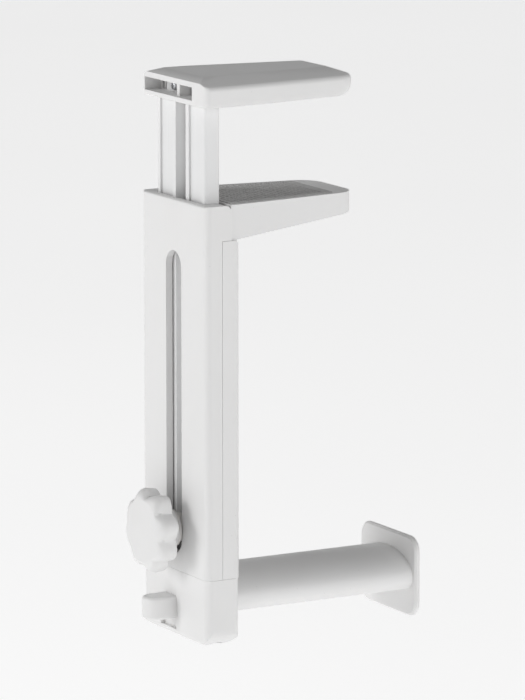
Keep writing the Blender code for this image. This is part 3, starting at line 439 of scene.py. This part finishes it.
def metal(name, colour, roughness, stretch):
    """Plated or turned metal: fine tool marks, painted shade in its corners and bright edges.

    stretch lengthens the tool marks along an axis."""
    made, tree, shader, where = new_material(name, Metallic=1.0)
    marks = noise(tree, where, 2600, detail=3, stretch=stretch)
    film = noise(tree, where, 320, detail=4)
    dark = tuple(channel * 0.78 for channel in colour) + (1,)
    bright = tuple(min(1, channel * 1.25) for channel in colour) + (1,)
    tone = mixed(tree, film, dark, (*colour, 1))
    tone = mixed(tree, maths(tree, "MULTIPLY", edges(tree, 0.15 * MM), 0.6), tone, bright)
    # Painted shade: near black in gaps and corners, from an ambient-occlusion mask.
    tone = mixed(tree, maths(tree, "MULTIPLY", crevices(tree, 0.8 * MM), 0.6), tone, grey(0.12, 0.05))
    rough = noise(tree, where, 500, roughness, roughness + 0.1)
    rough = maths(tree, "ADD", rough, maths(tree, "MULTIPLY", marks, 0.1))
    normal = bump(tree, ((marks, 0.01 * MM, 0.35), (film, 0.02 * MM, 0.2)))
    connect(tree, shader, tone, rough, normal)
    return made


WHITE = 0.80
finishes = {
    "jaw_plastic": moulded_plastic("jaw_plastic", WHITE, 0.44),
    "shell_plastic": moulded_plastic("shell_plastic", WHITE, 0.43, washer_track),
    "block_plastic": moulded_plastic("block_plastic", WHITE * 1.01, 0.42),
    "saddle_plastic": moulded_plastic("saddle_plastic", WHITE * 1.01, 0.43, saddle_crest),
    "knob_plastic": moulded_plastic("knob_plastic", WHITE * 0.99, 0.47, knob_rim),
    "mast_paint": powder_coat("mast_paint", WHITE),
    "pad_rubber": rubber("pad_rubber", 0.5),
    "guide_nylon": nylon("guide_nylon", 0.74),
    "screw_steel": metal("screw_steel", (0.56, 0.57, 0.59), 0.26, (1, 1, 1)),
    "insert_brass": metal("insert_brass", (0.78, 0.57, 0.26), 0.24, (0.1, 1, 0.1)),
}


def dress(piece, body, node_name, slot_name):
    """Gives a new piece its finish, lets it ride on its body and stand for its CAD node."""
    piece.data.materials.clear()
    piece.data.materials.append(finishes[slot_name])
    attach(piece, body)
    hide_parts(node_name)
    return piece


# The frame's own solids

ROUNDING = {
    "upper_jaw": 0.3 * MM,
    "mast": 0.25 * MM,
    "front_shell": 0.3 * MM,
    "rear_shell_with_lower_jaw": 0.3 * MM,
    "end_block": 0.3 * MM,
    "saddle_arm": 0.3 * MM,
    "knob": 0.35 * MM,
    "slot_guide": 0.2 * MM,
    "friction_washer": 0.1 * MM,
    "knob_insert": 0.1 * MM,
    "clamp_bolt": 0.15 * MM,
}
slot_of = {part["node"]: part["material_slot"] for part in frame["record"]["subparts"]}
for name, width in ROUNDING.items():
    solid = frame["nodes"][name]
    solid.material_slots[0].material = finishes[slot_of[name]]
    round_edges(solid, width)

ribbed_pad("upper_pad", "clamp_frame", True)
ribbed_pad("lower_pad", "sleeve", False)
for side in ("left", "right"):
    screw("jaw_screw_" + side, "clamp_frame", (0, 1, 0))
    screw("block_screw_" + side, "sleeve", (0, 0, 1))
    screw("saddle_screw_" + side, "sleeve", (0, 0, 1))
for number in range(1, 5):
    screw(f"shell_screw_{number}", "sleeve", (0, -1, 0))


# Floor, light and camera

FLOOR_Z = -0.285
FLOOR_HALF = 6
FLOOR_THICKNESS = 0.02
FLOOR_GLOW = 0.6
SIDE_LEVEL = 0.5
TOP_LEVEL = 0.19
HORIZON_GLOW = 0.36
MIDDLE = (0, 0, -0.1)
CAMERA_PLACE = (1.52855, -0.85731, 0.23614)
CAMERA_AIM = (0, 0.002, -0.0865)
FOCAL_LENGTH = 272
SENSOR_WIDTH = 36


def make_floor():
    half = FLOOR_HALF
    corners = ((-half, -half), (half, -half), (half, half), (-half, half))
    rings = [[(x, y, z) for x, y in corners] for z in (FLOOR_Z - FLOOR_THICKNESS, FLOOR_Z)]
    floor = new_object("studio_floor", rings)
    made, tree, shader, where = new_material("studio_floor")
    colour = mixed(tree, noise(tree, where, 3, detail=3), grey(0.82), grey(0.85))
    rough = noise(tree, where, 12, 0.6, 0.7, detail=3)
    connect(tree, shader, colour, rough, bump(tree, ((noise(tree, where, 700), 0.1 * MM, 0.15),)))
    shader.inputs["Emission Color"].default_value = grey(1)
    shader.inputs["Emission Strength"].default_value = FLOOR_GLOW
    floor.data.materials.append(made)


def area_light(name, position, size, power):
    """A round soft light that points at the middle of the hook."""
    lamp = bpy.data.lights.new(name, "AREA")
    lamp.shape = "DISK"
    lamp.size = size
    lamp.energy = power
    made = bpy.data.objects.new(name, lamp)
    bpy.context.scene.collection.objects.link(made)
    made.location = position
    made.rotation_euler = (Vector(MIDDLE) - Vector(position)).to_track_quat("-Z", "Y").to_euler()


def make_world():
    """Soft light from all round, dimmer from above, and brightest from the horizon down."""
    world = bpy.data.worlds.new("studio")
    world.use_nodes = True
    bpy.context.scene.world = world
    tree = world.node_tree
    height = node(tree, "SeparateXYZ", {0: node(tree, "TexCoord").outputs["Generated"]}).outputs["Z"]
    level = spread(tree, height, -0.1, 0.75, SIDE_LEVEL, TOP_LEVEL)
    level = maths(tree, "ADD", level, spread(tree, height, 0.04, 0.3, HORIZON_GLOW, 0))
    tree.links.new(level, tree.nodes["Background"].inputs["Color"])


def make_camera():
    """The camera stands where the photographer's did, and looks at the middle of the hook."""
    lens = bpy.data.cameras.new("camera")
    lens.sensor_width = SENSOR_WIDTH
    lens.lens = FOCAL_LENGTH
    lens.clip_end = 60
    made = bpy.data.objects.new("camera", lens)
    bpy.context.scene.collection.objects.link(made)
    made.location = CAMERA_PLACE
    made.rotation_euler = (Vector(CAMERA_AIM) - made.location).to_track_quat("-Z", "Y").to_euler()
    bpy.context.scene.camera = made


make_floor()
make_world()
area_light("key", (-0.5, -1.6, 0.4), size=0.8, power=10)
area_light("fill", (1.7, 0.4, 0.35), size=1.0, power=7)
make_camera()
bpy.context.scene.view_settings.view_transform = "Standard"
